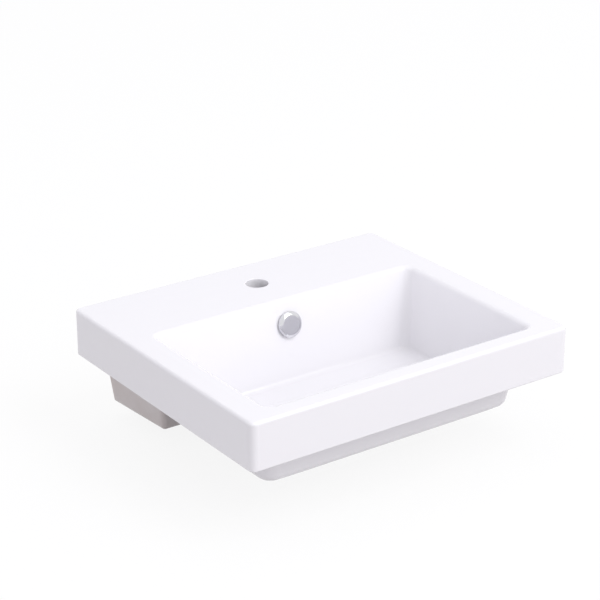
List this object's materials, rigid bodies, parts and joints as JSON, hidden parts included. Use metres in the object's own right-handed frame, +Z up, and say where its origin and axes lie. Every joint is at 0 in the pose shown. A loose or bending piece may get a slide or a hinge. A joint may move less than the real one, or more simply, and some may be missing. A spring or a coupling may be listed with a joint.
{
  "type": "wall-hung basin",
  "caption": "Rectangular ceramic wall-hung basin with a flat rear ledge and tap hole, a sunk bowl with an overflow, a push-plug waste and hanger bolts.",
  "frame": {"origin": "midway between the two hanger bolts, on the wall plane", "axes": "+Y out of the back into the wall, -Y to the front, +X to the right seen from the front, +Z up"},
  "size_m": [0.55, 0.53, 0.1914],
  "materials": {
    "vitreous_china": "white gloss glaze over fired clay, bare where it meets the wall",
    "chrome_plate": "bright chrome on moulded plastic",
    "chromed_brass": "bright chrome on turned brass",
    "bare_brass": "turned brass",
    "grey_acetal": "moulded grey acetal",
    "white_acetal": "moulded white acetal",
    "white_polypropylene": "moulded polypropylene",
    "white_nylon": "moulded nylon",
    "black_rubber": "moulded rubber",
    "stainless_wire": "drawn stainless wire",
    "zinc_plated_steel": "zinc plated"
  },
  "bodies": {
    "basin": {"ceramic_basin": "vitreous_china", "overflow_cap": "chrome_plate", "overflow_insert": "grey_acetal", "overflow_seal": "black_rubber", "waste_body": "chromed_brass", "waste_upper_gasket": "black_rubber", "waste_lower_gasket": "black_rubber", "waste_friction_ring": "white_polypropylene", "waste_back_nut": "chromed_brass", "cartridge_post": "white_acetal", "post_locknut": "bare_brass", "cartridge_spring": "stainless_wire", "wall_bolts": "zinc_plated_steel", "wall_bolt_sleeves": "white_nylon", "wall_bolt_washers": "zinc_plated_steel", "wall_bolt_nuts": "zinc_plated_steel"},
    "plug": {"plug_cap": "chromed_brass", "plug_seal": "black_rubber", "cartridge_sleeve": "white_acetal", "latch_pin": "stainless_wire"}
  },
  "joints": [
    {"name": "plug_lift", "type": "slide", "parent": "basin", "child": "plug", "axis": [0, 0, 1], "range_m": [0, 0.008], "deforming": ["cartridge_spring"]}
  ]
}
